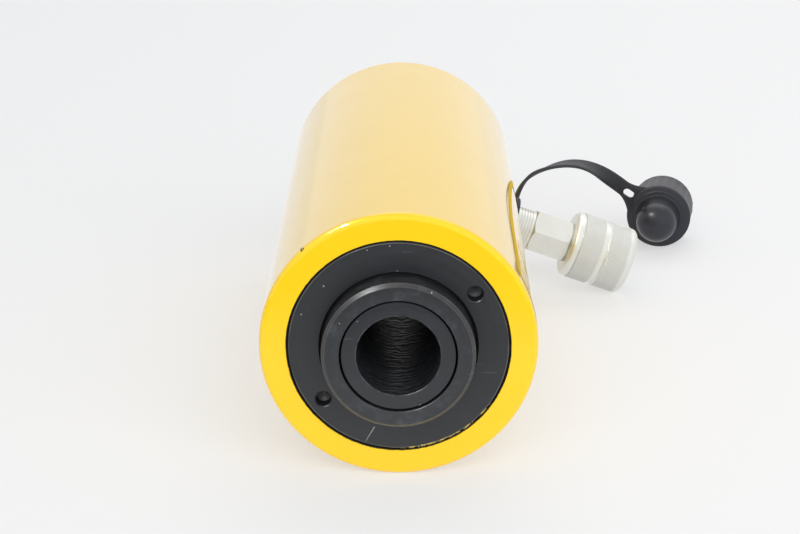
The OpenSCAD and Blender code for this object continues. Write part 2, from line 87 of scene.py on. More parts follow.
# meshes
def makePiece(name, verts, faces, place, smoothAngle=35):
    mesh = bpy.data.meshes.new(name)
    mesh.from_pydata([tuple(v) for v in verts], [], faces)
    mesh.validate()
    work = bmesh.new()
    work.from_mesh(mesh)
    bmesh.ops.recalc_face_normals(work, faces=work.faces)
    work.to_mesh(mesh)
    work.free()
    mesh.shade_smooth()
    mesh.set_sharp_from_angle(angle=math.radians(smoothAngle))
    piece = bpy.data.objects.new(name, mesh)
    scene.collection.objects.link(piece)
    piece.matrix_world = place
    return piece


def ringFaces(rows, cols, closeRows=False, closeCols=True):
    faces = []
    for i in range(rows if closeRows else rows - 1):
        for j in range(cols if closeCols else cols - 1):
            here = i * cols
            above = (i + 1) % rows * cols
            after = (j + 1) % cols
            faces.append((here + j, here + after, above + after, above + j))
    return faces


def turnedPiece(name, stations, segments, place, startAngle=0.0, smoothAngle=35):
    # each station is how far along and a radius, or a function of the angle, in millimetres
    angles = startAngle + np.arange(segments) * fullTurn / segments
    verts = []
    for along, radius in stations:
        r = radius(angles) if callable(radius) else np.full(segments, radius)
        height = np.full(segments, along * mm)
        verts += list(zip(r * np.cos(angles) * mm, r * np.sin(angles) * mm, height))
    faces = ringFaces(len(stations), segments, closeRows=True)
    return makePiece(name, verts, faces, place, smoothAngle)


def offsetStations(along, radius, offsets):  # stations given from one corner of the outline
    return [(along + step, radius + out) for step, out in offsets]


def mirrored(offsets):
    return [(-step, out) for step, out in reversed(offsets)]


def triangleWave(t):
    return 1 - 2 * np.abs(t - np.floor(t) - 0.5)


def roundCorner(r, along, radius, start, end, steps):
    out = []
    for i in range(steps + 1):
        angle = math.radians(start + (end - start) * i / steps)
        out.append((along + radius * math.sin(angle), r + radius * math.cos(angle)))
    return out


# shader nodes
def addNode(tree, kind, **settings):
    node = tree.nodes.new("ShaderNode" + kind)
    for key, value in settings.items():
        setattr(node, key, value)
    return node


def feed(tree, socket, value):
    if isinstance(value, bpy.types.NodeSocket):
        tree.links.new(value, socket)
    elif socket.type == "RGBA":
        socket.default_value = (*value[:3], 1)
    else:
        socket.default_value = value


def feedAll(tree, node, values):  # by the names or the numbers of the sockets
    for key, value in values.items():
        feed(tree, node.inputs[key], value)
    return node.outputs


def mathNode(tree, operation, *values):
    node = addNode(tree, "Math", operation=operation)
    return feedAll(tree, node, dict(enumerate(values)))[0]


def times(tree, a, b):
    return mathNode(tree, "MULTIPLY", a, b)


def most(tree, a, b):
    return mathNode(tree, "MAXIMUM", a, b)


def vectorNode(tree, operation, *values, result="Vector"):
    node = addNode(tree, "VectorMath", operation=operation)
    return feedAll(tree, node, dict(enumerate(values)))[result]


def lengthNode(tree, vector):
    return vectorNode(tree, "LENGTH", vector, result="Value")


def dotNode(tree, a, b):
    return vectorNode(tree, "DOT_PRODUCT", a, b, result="Value")


def rangeNode(tree, value, low, high, toLow=0.0, toHigh=1.0):
    node = addNode(tree, "MapRange", interpolation_type="SMOOTHSTEP")
    given = {"Value": value, "From Min": low, "From Max": high, "To Min": toLow, "To Max": toHigh}
    return feedAll(tree, node, given)["Result"]


def noiseNode(tree, vector, scale, detail=3.0, rough=0.55):
    given = {"Vector": vector, "Scale": scale, "Detail": detail, "Roughness": rough}
    return feedAll(tree, addNode(tree, "TexNoise"), given)["Fac"]


def cloudMask(tree, point, noise, span, *ends):  # noise is its scale, detail and roughness
    return rangeNode(tree, noiseNode(tree, point, *noise), *span, *ends)


def mixColor(tree, share, a, b):
    node = addNode(tree, "Mix", data_type="RGBA")
    return feedAll(tree, node, {0: share, 6: a, 7: b})[2]  # the colour sockets of a mix node are 6 and 7


def joinXYZ(tree, x, y, z):
    return feedAll(tree, addNode(tree, "CombineXYZ"), {0: x, 1: y, 2: z})[0]


def splitXYZ(tree, vector):
    return feedAll(tree, addNode(tree, "SeparateXYZ"), {0: vector})


def polarParts(tree, point):
    x, y, along = splitXYZ(tree, point)
    radius = lengthNode(tree, joinXYZ(tree, x, y, 0.0))
    return radius, along, mathNode(tree, "ARCTAN2", y, x)


def shade(color, share):
    return tuple(min(1.0, c * share) for c in color)


def newGroup(name, inputs, outputs):
    tree = bpy.data.node_groups.new(name, "ShaderNodeTree")
    for label, value in inputs.items():
        kind = "NodeSocketVector" if isinstance(value, tuple) else "NodeSocketFloat"
        socket = tree.interface.new_socket(name=label, in_out="INPUT", socket_type=kind)
        socket.default_value = value
    for label in outputs:
        tree.interface.new_socket(name=label, in_out="OUTPUT", socket_type="NodeSocketFloat")
    return tree, tree.nodes.new("NodeGroupInput").outputs, tree.nodes.new("NodeGroupOutput").inputs


def useGroup(tree, group, **values):
    return feedAll(tree, addNode(tree, "Group", node_tree=group), values)


def maskOf(tree, group, point, **values):
    return useGroup(tree, group, Point=point, **values)["Mask"]


markLook = {"fine": 1800.0, "detail": 2.0, "slow": 260.0, "drift": 0.0008}


def turnedMarksGroup():  # rings left by the cutting tool, on faces and on round sides
    m = markLook
    inputs = {"Point": (0, 0, 0), "Fine": m["fine"]}
    tree, given, out = newGroup("turnedMarks", inputs, ["Height", "Tone"])
    radius, along, angle = polarParts(tree, given["Point"])
    drift = times(tree, mathNode(tree, "ABSOLUTE", angle), m["drift"])  # a slow change on the way round
    ringPoint = joinXYZ(tree, radius, along, drift)
    feed(tree, out["Height"], noiseNode(tree, ringPoint, given["Fine"], m["detail"]))
    feed(tree, out["Tone"], noiseNode(tree, ringPoint, m["slow"]))
    return tree


grainLook = {"scale": 900.0, "patchNoise": (45.0, 4.0, 0.6), "patchSpan": (0.35, 0.68)}


def fineGrainGroup():  # even fine grain with slow patches
    g = grainLook
    inputs = {"Point": (0, 0, 0), "Scale": g["scale"]}
    tree, given, out = newGroup("fineGrain", inputs, ["Height", "Patches"])
    feed(tree, out["Height"], noiseNode(tree, given["Point"], given["Scale"]))
    feed(tree, out["Patches"], cloudMask(tree, given["Point"], g["patchNoise"], g["patchSpan"]))
    return tree


def pickedCells(tree, vector, scale, size, share, **settings):  # the middles of a share of the cells
    cells = feedAll(tree, addNode(tree, "TexVoronoi", **settings), {"Vector": vector, "Scale": scale})
    pick = feedAll(tree, addNode(tree, "SeparateColor"), {0: cells["Color"]})[0]
    near = mathNode(tree, "LESS_THAN", cells["Distance"], size)
    return times(tree, near, mathNode(tree, "LESS_THAN", pick, share))


scratchLook = {
    "scale": 400.0, "share": 0.1, "angles": (0.6, -0.95), "stretch": (0.03, 1, 1), "width": 0.045,
    "breakNoise": (130.0, 2.0), "breakSpan": (0.42, 0.55),
}


def fineScratchesGroup():  # thin straight scratches that lie two ways
    s = scratchLook
    inputs = {"Point": (0, 0, 0), "Scale": s["scale"], "Share": s["share"]}
    tree, given, out = newGroup("fineScratches", inputs, ["Mask"])
    found = 0.0
    for angle in s["angles"]:
        turned = {"Vector": given["Point"], "Rotation": (0, 0, angle), "Scale": s["stretch"]}
        point = feedAll(tree, addNode(tree, "Mapping"), turned)["Vector"]  # long along one way
        line = pickedCells(tree, point, given["Scale"], s["width"], given["Share"], voronoi_dimensions="2D")
        found = most(tree, found, line)
    breaks = cloudMask(tree, given["Point"], s["breakNoise"], s["breakSpan"])
    feed(tree, out["Mask"], times(tree, found, breaks))
    return tree


def speckleGroup():  # small bright nicks and dust
    inputs = {"Point": (0, 0, 0), "Scale": 160.0, "Share": 0.04, "Size": 0.12}
    tree, given, out = newGroup("speckle", inputs, ["Mask"])
    spots = pickedCells(tree, given["Point"], given["Scale"], given["Size"], given["Share"])
    feed(tree, out["Mask"], spots)
    return tree


slowWobble = 0.1  # scale of a band's slow wobble against its fine one


def ringBandGroup():  # a band about the axis with a ragged edge that widens here and there
    inputs = {"Point": (0, 0, 0), "Radius": 0.05, "Width": 0.001, "Ragged": 0.0, "Scale": 300.0}
    tree, given, out = newGroup("ringBand", inputs, ["Mask"])
    radius = polarParts(tree, given["Point"])[0]
    fine = noiseNode(tree, given["Point"], given["Scale"])
    slow = noiseNode(tree, given["Point"], times(tree, given["Scale"], slowWobble))
    wobble = mathNode(tree, "SUBTRACT", mathNode(tree, "ADD", fine, slow), 1.0)  # each is a half on average
    moved = mathNode(tree, "MULTIPLY_ADD", wobble, given["Ragged"], radius)
    offset = mathNode(tree, "ABSOLUTE", mathNode(tree, "SUBTRACT", moved, given["Radius"]))
    feed(tree, out["Mask"], mathNode(tree, "LESS_THAN", offset, given["Width"]))
    return tree


spotCore = 0.7  # share of a spot's radius that is even


def spotAtGroup():  # one round mark at a place on a face
    inputs = {"Point": (0, 0, 0), "Centre": (0, 0, 0), "Size": 0.001}
    tree, given, out = newGroup("spotAt", inputs, ["Mask"])
    away = vectorNode(tree, "SUBTRACT", given["Point"], given["Centre"])
    flat = vectorNode(tree, "MULTIPLY", away, (1, 1, 0))
    soft = times(tree, given["Size"], spotCore)
    feed(tree, out["Mask"], rangeNode(tree, lengthNode(tree, flat), soft, given["Size"], 1.0, 0.0))
    return tree


lineEnd = 0.5  # share of a scratch's width that its end keeps


def lineAtGroup():  # one straight scratch between two places on a face
    inputs = {"Point": (0, 0, 0), "Start": (0, 0, 0), "End": (0.01, 0, 0), "Width": 0.0002}
    tree, given, out = newGroup("lineAt", inputs, ["Mask"])
    flat = vectorNode(tree, "MULTIPLY", given["Point"], (1, 1, 0))
    away = vectorNode(tree, "SUBTRACT", flat, given["Start"])
    run = vectorNode(tree, "SUBTRACT", given["End"], given["Start"])
    share = mathNode(tree, "DIVIDE", dotNode(tree, away, run), dotNode(tree, run, run))
    share = mathNode(tree, "MINIMUM", most(tree, share, 0.0), 1.0)
    reached = vectorNode(tree, "MULTIPLY", run, joinXYZ(tree, share, share, share))
    offset = lengthNode(tree, vectorNode(tree, "SUBTRACT", away, reached))
    thin = times(tree, given["Width"], rangeNode(tree, share, 0.0, 1.0, 1.0, lineEnd))
    feed(tree, out["Mask"], mathNode(tree, "LESS_THAN", offset, thin))
    return tree


turnedMarks = turnedMarksGroup()
fineGrain = fineGrainGroup()
fineScratches = fineScratchesGroup()
speckle = speckleGroup()
ringBand = ringBandGroup()
spotAt = spotAtGroup()
lineAt = lineAtGroup()
print("node groups made", len(bpy.data.node_groups))


# materials
def newMaterial(name, alongMain=False):
    material = bpy.data.materials.new(name)
    material.use_nodes = True
    tree = material.node_tree
    shader = tree.nodes["Principled BSDF"]
    point = addNode(tree, "TexCoord").outputs["Object"]
    if alongMain:  # the cylinder's own axis becomes z
        turn = addNode(tree, "Mapping")
        turn.inputs["Rotation"].default_value = (-math.pi / 2, 0, 0)
        feed(tree, turn.inputs["Vector"], point)
        point = turn.outputs["Vector"]
    return material, tree, shader, point


def surface(tree, shader, color, rough, height, bump):  # bump is its strength and its depth in metres
    given = {"Strength": bump[0], "Distance": bump[1], "Height": height}
    normal = feedAll(tree, addNode(tree, "Bump"), given)["Normal"]
    feedAll(tree, shader, {"Base Color": color, "Roughness": rough, "Normal": normal})


def frontFade(tree, along, front, span, *ends):  # span is in millimetres behind the front face
    return rangeNode(tree, along, (front - span[0]) * mm, (front - span[1]) * mm, *ends)


def bandMask(tree, point, r, width, ragged, scale):  # in millimetres about the main axis
    return maskOf(tree, ringBand, point, Radius=r * mm, Width=width * mm, Ragged=ragged * mm, Scale=scale)


def markMask(tree, point, spots, lines=()):  # the marks are in millimetres on the front face
    found = 0.0
    for x, up, size in spots:
        spot = maskOf(tree, spotAt, point, Centre=(x * mm, up * mm, 0), Size=size * mm)
        found = most(tree, found, spot)
    for x0, up0, x1, up1, width in lines:
        ends = {"Start": (x0 * mm, up0 * mm, 0), "End": (x1 * mm, up1 * mm, 0)}
        found = most(tree, found, maskOf(tree, lineAt, point, Width=width * mm, **ends))
    return found


toneSpan = (0.3, 0.7)  # most of the tone of turned marks lies in it


def markedRough(tree, tone, rough, spread):
    return rangeNode(tree, tone, *toneSpan, rough + spread[0], rough + spread[1])


paint = {
    "color": (0.95, 0.615, 0.004), "deep": (0.94, 0.60, 0.003), "bare": (0.02, 0.019, 0.018),
    "rough": 0.33, "roughSpread": 0.01, "ior": 1.85, "glint": (1.0, 0.75, 0.1, 1),
    "coat": 1.0, "coatRough": 0.06, "coatIor": 1.5, "peelScale": 420.0, "bump": (0.04, 0.0004),
    "front": 259.0, "frontSpan": (4.0, 3.0), "bareDrop": -3.0,
    "mouthR": 45.65, "mouthWidth": 0.28, "mouthRagged": 0.5, "mouthScale": 420.0,
    "chips": ((-38.8, 41.3, 0.55), (-38.1, 41.9, 0.4)), "nicks": {"Scale": 46.0, "Share": 0.01, "Size": 0.02},
}


def paintGloss(tree, shader, bare):  # the clear coat, which the label has too
    p = paint
    coat = rangeNode(tree, bare, 0.0, 1.0, p["coat"], 0.0)
    feedAll(tree, shader, {"Coat Weight": coat, "Coat Roughness": p["coatRough"], "Coat IOR": p["coatIor"]})
    feedAll(tree, shader, {"IOR": p["ior"], "Specular Tint": p["glint"]})


def enamelPaint():
    p = paint
    material, tree, shader, point = newMaterial("enamelPaint", True)
    grain = useGroup(tree, fineGrain, Point=point, Scale=p["peelScale"])
    color = mixColor(tree, grain["Patches"], p["color"], p["deep"])
    mouth = bandMask(tree, point, p["mouthR"], p["mouthWidth"], p["mouthRagged"], p["mouthScale"])
    atFront = frontFade(tree, splitXYZ(tree, point)[2], p["front"], p["frontSpan"])
    bare = times(tree, most(tree, mouth, markMask(tree, point, p["chips"])), atFront)
    bare = most(tree, bare, maskOf(tree, speckle, point, **p["nicks"]))
    low = p["rough"] - p["roughSpread"]
    high = p["rough"] + p["roughSpread"]
    rough = rangeNode(tree, grain["Patches"], 0.0, 1.0, low, high)
    height = mathNode(tree, "MULTIPLY_ADD", bare, p["bareDrop"], grain["Height"])
    surface(tree, shader, mixColor(tree, bare, color, p["bare"]), rough, height, p["bump"])
    paintGloss(tree, shader, bare)
    return material


# black oxide on turned steel, with rubbed rims (on the gland partly a painted highlight along the chamfers),
# fine scratches and nicks
oxide = {
    "grainScale": 700.0, "tones": (0.55, 1.45), "grainShare": 0.5, "grainTone": 1.6,
    "blotchNoise": (5.0, 0.65), "blotchSpan": (0.48, 0.78), "blotchTone": 4.0,
    "frontSpan": (2.2, 1.8), "bandRagged": 0.6, "bandScale": 260.0,
    "breakNoise": (38.0, 2.0), "breakSpan": (0.38, 0.58), "breakLeast": 0.25,
    "scratchScale": 420.0, "nicks": {"Scale": 150.0, "Share": 0.03, "Size": 0.035},
    "markDrop": -0.8, "roughSpread": (-0.05, 0.06), "bumpDepth": 0.00025,
}


def oxideBase(name, f):
    o = oxide
    tone = f["tone"]
    material, tree, shader, point = newMaterial(name, True)
    radius, along, angle = polarParts(tree, point)
    turned = useGroup(tree, turnedMarks, Point=point, Fine=f["marks"])
    grain = useGroup(tree, fineGrain, Point=point, Scale=o["grainScale"])
    dark, pale = (shade(tone, share) for share in o["tones"])
    color = mixColor(tree, turned["Tone"], dark, pale)
    color = mixColor(tree, times(tree, grain["Height"], o["grainShare"]), color, shade(tone, o["grainTone"]))
    blotches = cloudMask(tree, point, (f["blotchScale"], *o["blotchNoise"]), o["blotchSpan"])
    color = mixColor(tree, times(tree, blotches, f["mottle"]), color, shade(tone, o["blotchTone"]))
    atFront = frontFade(tree, along, f["front"], o["frontSpan"])
    breaks = cloudMask(tree, point, o["breakNoise"], o["breakSpan"], o["breakLeast"], 1.0)
    # each band is a rubbed rim; on the gland it is partly a painted highlight
    for bandR, width, share in f["bands"]:
        band = bandMask(tree, point, bandR, width, width * o["bandRagged"], o["bandScale"])
        shown = times(tree, times(tree, band, atFront), breaks)
        color = mixColor(tree, times(tree, shown, share), color, f["rimWearAndSheen"])
    scratches = maskOf(tree, fineScratches, point, Scale=o["scratchScale"], Share=f["scratched"])
    nicks = maskOf(tree, speckle, point, **o["nicks"])
    given = times(tree, markMask(tree, point, f["nicks"], f["lines"]), atFront)
    marked = most(tree, times(tree, most(tree, scratches, nicks), f["scuff"]), given)
    shader.inputs["Specular IOR Level"].default_value = f["specular"]
    return {
        "material": material, "tree": tree, "shader": shader, "point": point, "radius": radius,
        "along": along, "angle": angle, "atFront": atFront, "color": mixColor(tree, marked, color, f["bare"]),
        "height": mathNode(tree, "MULTIPLY_ADD", marked, o["markDrop"], turned["Height"]),
        "rough": markedRough(tree, turned["Tone"], f["rough"], o["roughSpread"]),
    }


def oxideDone(base, depth):
    bump = (depth, oxide["bumpDepth"])
    surface(base["tree"], base["shader"], base["color"], base["rough"], base["height"], bump)
    return base["material"]


glandFinish = {
    "tone": (0.0088, 0.0103, 0.0128), "rough": 0.40, "specular": 0.66, "depth": 0.16,
    "mottle": 0.12, "blotchScale": 60.0, "marks": 1500.0, "front": 258.7,
    # the bands are lighter lines at the outer and mouth chamfers: rubbed rims, and partly a painted highlight
    # where the chamfers catch light
    "rimWearAndSheen": (0.15, 0.14, 0.125), "bands": ((44.7, 0.15, 0.75), (32.65, 0.08, 0.4)),
    "bare": (0.30, 0.30, 0.29), "scuff": 0.22, "scratched": 0.08,
    "nicks": ((-12.5, 41.7, 0.3), (-3.5, 43.5, 0.3), (-0.5, 33.0, 0.25), (-39.3, 14.2, 0.35),
              (-30.1, 26.4, 0.4)),
    "lines": ((-10.0, -35.5, -13.6, -41.9, 0.2),),
    "holeR": 38.5, "holeAngle": 36.7, "holeSize": 3.3, "holeSpan": (0.9, 0.4),
    "holeTone": (0.075, 0.077, 0.08), "holeRough": 0.2,
    "fleckR": 45.2, "fleckWidth": 0.5, "fleckScale": 500.0, "fleckFrom": -95.0, "fleckTo": -32.0,
    "fleckFade": 0.2, "fleckColor": (0.85, 0.66, 0.16), "crumbNoise": (520.0, 2.0), "crumbSpan": (0.46, 0.52),
}


def glandOxide():
    f = glandFinish
    base = oxideBase("glandBlack", f)
    tree = base["tree"]
    point = base["point"]
    turn = math.radians(f["holeAngle"])
    holeX = f["holeR"] * math.cos(turn)
    holeUp = f["holeR"] * math.sin(turn)
    holes = [(way * holeX, way * holeUp, f["holeSize"]) for way in (1, -1)]
    below = frontFade(tree, base["along"], f["front"], f["holeSpan"], 1.0, 0.0)
    drilled = times(tree, markMask(tree, point, holes), below)  # cut after the blacking, so brighter inside
    base["color"] = mixColor(tree, drilled, base["color"], f["holeTone"])
    base["rough"] = rangeNode(tree, drilled, 0.0, 1.0, base["rough"], f["holeRough"])
    edge = bandMask(tree, point, f["fleckR"], f["fleckWidth"], f["fleckWidth"], f["fleckScale"])
    start = math.radians(f["fleckFrom"])
    stop = math.radians(f["fleckTo"])
    fade = f["fleckFade"]
    arc = times(tree, rangeNode(tree, base["angle"], start, start + fade),
                rangeNode(tree, base["angle"], stop - fade, stop, 1.0, 0.0))
    crumbs = cloudMask(tree, point, f["crumbNoise"], f["crumbSpan"])
    flecks = times(tree, times(tree, edge, base["atFront"]), times(tree, arc, crumbs))
    base["color"] = mixColor(tree, flecks, base["color"], f["fleckColor"])  # paint that ran onto the edge
    return oxideDone(base, f["depth"])


plungerFinish = {
    "tone": (0.0135, 0.0155, 0.0182), "rough": 0.38, "specular": 0.66, "depth": 0.14,
    "mottle": 0.75, "blotchScale": 150.0, "marks": 1300.0, "front": 269.4,
    "rimWearAndSheen": (0.12, 0.095, 0.075), "bands": ((31.2, 0.12, 0.6), (30.05, 0.08, 0.4)),
    "bare": (0.34, 0.34, 0.33), "scuff": 0.25, "scratched": 0.08,
    "nicks": ((13.2, 27.4, 0.35), (30.7, 10.2, 0.3), (-23.5, 14.5, 0.25)), "lines": (),
}


def plungerOxide():
    return oxideDone(oxideBase("plungerBlack", plungerFinish), plungerFinish["depth"])


tubeFinish = {
    "tone": (0.0092, 0.0112, 0.0142), "rough": 0.36, "specular": 0.70, "depth": 0.30,
    "mottle": 0.2, "blotchScale": 110.0, "marks": 900.0, "front": 268.4,
    "rimWearAndSheen": (0.06, 0.058, 0.056), "bands": ((23.05, 0.06, 0.4),),
    "bare": (0.30, 0.29, 0.26), "scuff": 0.2, "scratched": 0.05,
    "nicks": ((8.8, -21.2, 0.3), (-16.4, 15.0, 0.25)), "lines": (),
    "boreR": 17.6, "ripplePitch": 3.6, "rippleDepth": 0.6, "crestGlintTone": (0.036, 0.036, 0.037),
    "crestGlintSpan": (0.1, 0.9), "wander": 3.2, "wanderNoise": (120.0, 2.0),
}


def tubeOxide():
    f = tubeFinish
    base = oxideBase("tubeBlack", f)
    tree = base["tree"]
    inBore = mathNode(tree, "LESS_THAN", base["radius"], f["boreR"] * mm)
    wander = times(tree, noiseNode(tree, base["point"], *f["wanderNoise"]), f["wander"])
    phase = mathNode(tree, "ADD", times(tree, base["along"], 1 / (f["ripplePitch"] * mm)), wander)
    wave = mathNode(tree, "SINE", times(tree, phase, fullTurn))  # chatter of the boring tool
    ripple = times(tree, wave, inBore)
    base["height"] = mathNode(tree, "MULTIPLY_ADD", ripple, f["rippleDepth"], base["height"])
    # painted highlight: the ripple crests are painted lighter, as glints on the boring marks
    paintedGlint = rangeNode(tree, ripple, *f["crestGlintSpan"])
    base["color"] = mixColor(tree, paintedGlint, base["color"], f["crestGlintTone"])
    return oxideDone(base, f["depth"])


plate = {
    "marks": 2400.0, "grainScale": 1300.0, "cast": (0.965, 0.96, 0.935),
    "scratches": {"Scale": 500.0, "Share": 0.10}, "scratchMix": 0.2, "scratchTone": 0.65,
    "valleyShadeMix": 0.45, "valleyShadeTone": 0.42, "roughSpread": (-0.05, 0.06), "bump": (0.06, 0.0002),
}


def platedSteel(name, color, rough, metallic=1.0, along=False):
    p = plate
    material, tree, shader, point = newMaterial(name, along)
    turned = useGroup(tree, turnedMarks, Point=point, Fine=p["marks"])
    grain = useGroup(tree, fineGrain, Point=point, Scale=p["grainScale"])
    warm = tuple(c * k for c, k in zip(color, p["cast"]))  # a thin yellow cast here and there
    tint = mixColor(tree, grain["Patches"], color, warm)
    scratches = maskOf(tree, fineScratches, point, **p["scratches"])
    tint = mixColor(tree, times(tree, scratches, p["scratchMix"]), tint, shade(color, p["scratchTone"]))
    # painted shade: the knurl's valleys are painted darker
    valley = addNode(tree, "Attribute", attribute_name="valley").outputs["Fac"]
    tint = mixColor(tree, times(tree, valley, p["valleyShadeMix"]), tint, shade(color, p["valleyShadeTone"]))
    dull = markedRough(tree, turned["Tone"], rough, p["roughSpread"])
    surface(tree, shader, tint, dull, turned["Height"], p["bump"])
    shader.inputs["Metallic"].default_value = metallic
    return material


rubber = {
    "grainScale": 1500.0, "bloomTone": 1.7, "roughSpread": (-0.04, 0.06), "specular": 0.4,
    "specks": {"Scale": 260.0, "Share": 0.03, "Size": 0.08}, "dust": (0.3, 0.3, 0.3), "dustMix": 0.25,
    "plugFrom": 3.0, "plugTo": 5.0, "bump": (0.12, 0.0002),
}


def mouldedRubber(name, color, rough, bloom, polished=None):
    r = rubber
    material, tree, shader, point = newMaterial(name)
    grain = useGroup(tree, fineGrain, Point=point, Scale=r["grainScale"])
    specks = maskOf(tree, speckle, point, **r["specks"])
    tone = mixColor(tree, times(tree, grain["Patches"], bloom), color, shade(color, r["bloomTone"]))
    tone = mixColor(tree, times(tree, specks, r["dustMix"]), tone, r["dust"])
    low, high = (rough + spread for spread in r["roughSpread"])
    dull = rangeNode(tree, grain["Patches"], 0.0, 1.0, low, high)
    if polished is not None:  # the plug leaves the mould shinier than the grip
        onPlug = rangeNode(tree, splitXYZ(tree, point)[2], r["plugFrom"] * mm, r["plugTo"] * mm)
        dull = rangeNode(tree, onPlug, 0.0, 1.0, dull, polished)
    surface(tree, shader, tone, dull, grain["Height"], r["bump"])
    shader.inputs["Specular IOR Level"].default_value = r["specular"]
    return material


plain = {"marks": 1500.0, "tones": (0.88, 1.08), "roughSpread": (-0.04, 0.05), "bump": (0.08, 0.0002)}


def turnedPlain(name, color, rough, metallic):
    p = plain
    material, tree, shader, point = newMaterial(name, True)
    turned = useGroup(tree, turnedMarks, Point=point, Fine=p["marks"])
    dark, pale = (shade(color, share) for share in p["tones"])
    tint = mixColor(tree, turned["Tone"], dark, pale)
    dull = markedRough(tree, turned["Tone"], rough, p["roughSpread"])
    surface(tree, shader, tint, dull, turned["Height"], p["bump"])
    shader.inputs["Metallic"].default_value = metallic
    return material


enamel = enamelPaint()
glandBlack = glandOxide()
plungerBlack = plungerOxide()
tubeBlack = tubeOxide()
zincPlate = platedSteel("zincPlate", color=(0.775, 0.785, 0.755), rough=0.44, metallic=0.85)
springWire = platedSteel("springWire", color=(0.32, 0.325, 0.335), rough=0.36)
valveSteel = platedSteel("valveSteel", color=(0.70, 0.70, 0.69), rough=0.26, along=True)
capRubber = mouldedRubber("capRubber", color=(0.019, 0.020, 0.027), rough=0.46, bloom=0.4, polished=0.31)
strapRubber = mouldedRubber("strapRubber", color=(0.0175, 0.018, 0.0215), rough=0.50, bloom=0.4)
sealRubber = mouldedRubber("sealRubber", color=(0.016, 0.016, 0.017), rough=0.45, bloom=0.3)
lipSealGreen = mouldedRubber("lipSealGreen", color=(0.03, 0.14, 0.07), rough=0.38, bloom=0.25)
bearingBronze = turnedPlain("bearingBronze", color=(0.62, 0.38, 0.17), rough=0.34, metallic=1.0)
valveBrass = turnedPlain("valveBrass", color=(0.78, 0.58, 0.26), rough=0.28, metallic=1.0)
backupWhite = turnedPlain("backupWhite", color=(0.78, 0.77, 0.72), rough=0.5, metallic=0.0)
print("materials made", len(bpy.data.materials))

cadFinish = {
    "cylinder_body": enamel, "gland_nut": glandBlack, "plunger": plungerBlack, "centre_tube": tubeBlack,
    "tube_o_ring": sealRubber, "wiper_ring": sealRubber, "nose_seal": sealRubber,
    "gland_bush": bearingBronze, "piston_guide_ring": bearingBronze, "inner_guide_ring": bearingBronze,
    "piston_seal": lipSealGreen, "inner_seal": lipSealGreen,
    "piston_backup_ring": backupWhite, "inner_backup_ring": backupWhite,
    "collar_ring": valveSteel, "valve_seat": valveSteel, "valve_poppet": valveBrass,
}
for nodeName, finish in cadFinish.items():
    part = nodes[nodeName]
    part.data.materials.clear()
    part.data.materials.append(finish)
print("CAD pieces finished", len(cadFinish))


def finishPiece(piece, material, body, slotName, *stoodFor):
    piece.data.materials.append(material)
    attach(piece, body)
    if stoodFor:
        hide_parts(*stoodFor)


# coupler body: pipe thread, neck, hexagon and nose in one turned skin
shank = {
    "threadFrom": 48.0, "threadTo": 60.9, "threadR": 8.5, "threadDepth": 0.75, "pitch": 1.41, "perPitch": 6,
    "rootDrop": 0.4, "startDrop": 1.2, "startLength": 0.5,
    "neckFrom": 61.25, "neckR": 9.7, "neckEdge": ((0.02, -0.5), (0.5, 0.0)),
    "lines": 5, "linePitch": 1.5, "lineGap": 0.6,
    "line": ((0.0, 0.0), (0.2, -0.28), (0.55, -0.28), (0.75, 0.0)),
    "hexFrom": 71.0, "hexTo": 92.0, "acrossFlats": 20.5, "hexTurn": 45.0, "hexGap": 0.1, "flatIn": 4.0,
    "bevel": 1.2, "bevelIn": 0.05, "bevelFoot": 0.5, "bevelDrop": 2.2, "bevelSteps": 8,
    "noseR": 10.0, "noseIn": 0.02, "noseTo": 105.4, "noseRound": 0.6, "noseSteps": 4,
    "ringAt": 97.4, "ringWidth": 1.48, "ringDeep": 1.0, "sealOut": 9.36, "sealIn": 7.64, "sealDeep": 1.4,
    "valveR": 7.0, "valveEdge": ((0.0, 0.2), (-0.3, 0.0)), "valveFrom": 83.9, "oilR": 3.5, "segments": 144,
}


